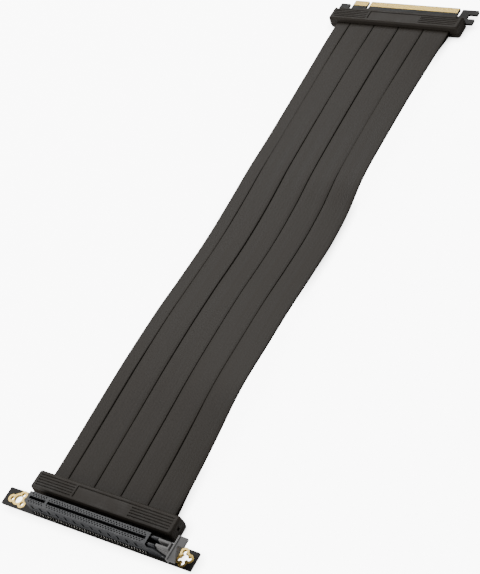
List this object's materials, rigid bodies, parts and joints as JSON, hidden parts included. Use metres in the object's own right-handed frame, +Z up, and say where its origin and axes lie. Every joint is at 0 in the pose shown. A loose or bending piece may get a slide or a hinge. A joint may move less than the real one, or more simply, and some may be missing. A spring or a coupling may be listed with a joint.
{
  "type": "gpu riser cable",
  "caption": "Flexible flat-ribbon riser cable: an upright expansion slot on a screw-down board at one end, a gold-fingered card edge at the other.",
  "frame": {"origin": "middle of the flat underside of the slot end's bottom cover, where the part rests", "axes": "+X along the slot towards its latch, +Y from the slot end to the card edge, +Z up out of the slot"},
  "size_m": [0.1395, 0.4568, 0.0162],
  "materials": {
    "housing_plastic": "satin moulded plastic, near black",
    "latch_plastic": "satin moulded plastic, mid grey",
    "board": "black solder mask on laminate, with plain gold on contacts and hole rims",
    "cover_plastic": "matt moulded plastic, warm near black",
    "ribbon": "soft satin cable sleeve, warm dark grey"
  },
  "bodies": {
    "cable": {"slot_housing": "housing_plastic", "slot_board": "board", "slot_cover_top": "cover_plastic", "slot_cover_bottom": "cover_plastic", "edge_board": "board", "edge_cover_top": "cover_plastic", "edge_cover_bottom": "cover_plastic", "ribbon_upper_1": "ribbon", "ribbon_upper_2": "ribbon", "ribbon_upper_3": "ribbon", "ribbon_upper_4": "ribbon", "ribbon_upper_5": "ribbon", "ribbon_lower_1": "ribbon", "ribbon_lower_2": "ribbon", "ribbon_lower_3": "ribbon", "ribbon_lower_4": "ribbon", "ribbon_lower_5": "ribbon"},
    "latch": {"slot_latch": "latch_plastic"}
  },
  "joints": [
    {"name": "latch_hinge", "type": "hinge", "parent": "cable", "child": "latch", "pos_m": [0.053, -0.01425, 0.0075], "axis": [0, 1, 0], "range_deg": [0, 20]}
  ]
}
